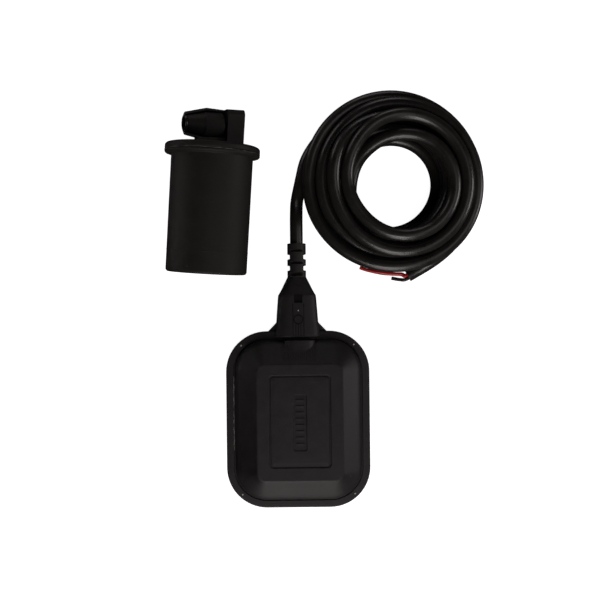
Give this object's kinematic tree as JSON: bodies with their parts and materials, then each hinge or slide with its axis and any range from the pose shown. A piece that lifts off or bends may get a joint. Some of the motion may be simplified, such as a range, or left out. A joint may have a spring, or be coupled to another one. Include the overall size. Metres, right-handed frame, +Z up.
{
  "type": "cable float switch kit",
  "caption": "Black cable float switch with its coiled rubber cable and a loose cylindrical counterweight with a cable clamp, for a sump pump.",
  "frame": {"origin": "centre of the float's lower plateau, the flat face it lies on", "axes": "+Z up, out of the surface the kit lies on; +Y from the float towards its neck and cable; +X to the right of that, towards the coil"},
  "size_m": [0.2336, 0.3062, 0.0685],
  "materials": {
    "sheath": "satin",
    "core_red": "satin",
    "core_black": "satin",
    "core_green": "satin",
    "shell": "satin",
    "boot": "matte",
    "nylon": "matte",
    "resin": "satin",
    "bakelite": "satin",
    "brass": "polished",
    "steel": "brushed",
    "plunger": "satin",
    "iron": "cast"
  },
  "bodies": {
    "cable": {"cable_sheath": "sheath", "core_red": "core_red", "core_black": "core_black", "core_green": "core_green"},
    "float": {"float_top_shell": "shell", "float_bottom_shell": "shell", "seam_gasket": "boot", "neck_housing": "shell", "strain_relief_boot": "boot", "cable_grommet": "boot", "gland_washer": "nylon", "potting_collar": "resin", "cable_stub": "sheath", "switch_chamber": "nylon", "chamber_lid": "nylon", "ball_track": "nylon", "microswitch_case": "bakelite", "terminal_common": "brass", "terminal_open": "brass", "terminal_closed": "brass", "switch_bracket": "steel", "switch_screw_a": "steel", "switch_screw_b": "steel", "lever_pin": "steel", "inner_lead_red": "core_red", "inner_lead_black": "core_black", "inner_lead_green": "core_green"},
    "ball": {"steel_ball": "steel"},
    "lever": {"switch_lever": "steel"},
    "plunger": {"microswitch_plunger": "plunger"},
    "weight": {"weight_shell": "shell", "ballast_slug": "iron", "weight_cap": "shell"},
    "nut": {"clamp_nut": "shell"},
    "stop": {"stop_ring": "shell"}
  },
  "joints": [
    {"name": "float_swing", "type": "hinge", "parent": "cable", "child": "float", "pos_m": [0, 0.137, 0.0215], "axis": [-1, 0, 0], "range_deg": [-60, 75]},
    {"name": "ball_roll", "type": "slide", "parent": "float", "child": "ball", "axis": [0, 1, 0], "range_m": [0, 0.02]},
    {"name": "lever_tilt", "type": "hinge", "parent": "float", "child": "lever", "pos_m": [0, 0.016, 0.0249], "axis": [-1, 0, 0], "range_deg": [0, 6]},
    {"name": "plunger_press", "type": "slide", "parent": "float", "child": "plunger", "axis": [0, 0, 1], "range_m": [0, 0.0007]},
    {"name": "weight_shift", "type": "slide", "parent": "cable", "child": "weight", "axis": [-1, 0, 0], "range_m": [0, 0.1]},
    {"name": "nut_turn", "type": "hinge", "parent": "weight", "child": "nut", "pos_m": [-0.05818, 0.21337, 0.03537], "axis": [0.9224, 0.0189, -0.3859], "range_deg": [0, 360]},
    {"name": "stop_slide", "type": "slide", "parent": "weight", "child": "stop", "axis": [-0.9224, -0.0189, 0.3859], "range_m": [0, 0.0015]}
  ],
  "couplings": [
    {"joint": "lever_tilt", "follows": "ball_roll", "rad_per_m": 5.2359},
    {"joint": "plunger_press", "follows": "ball_roll", "ratio": 0.0349},
    {"joint": "stop_slide", "follows": "nut_turn", "m_per_rad": 0.0002387}
  ]
}
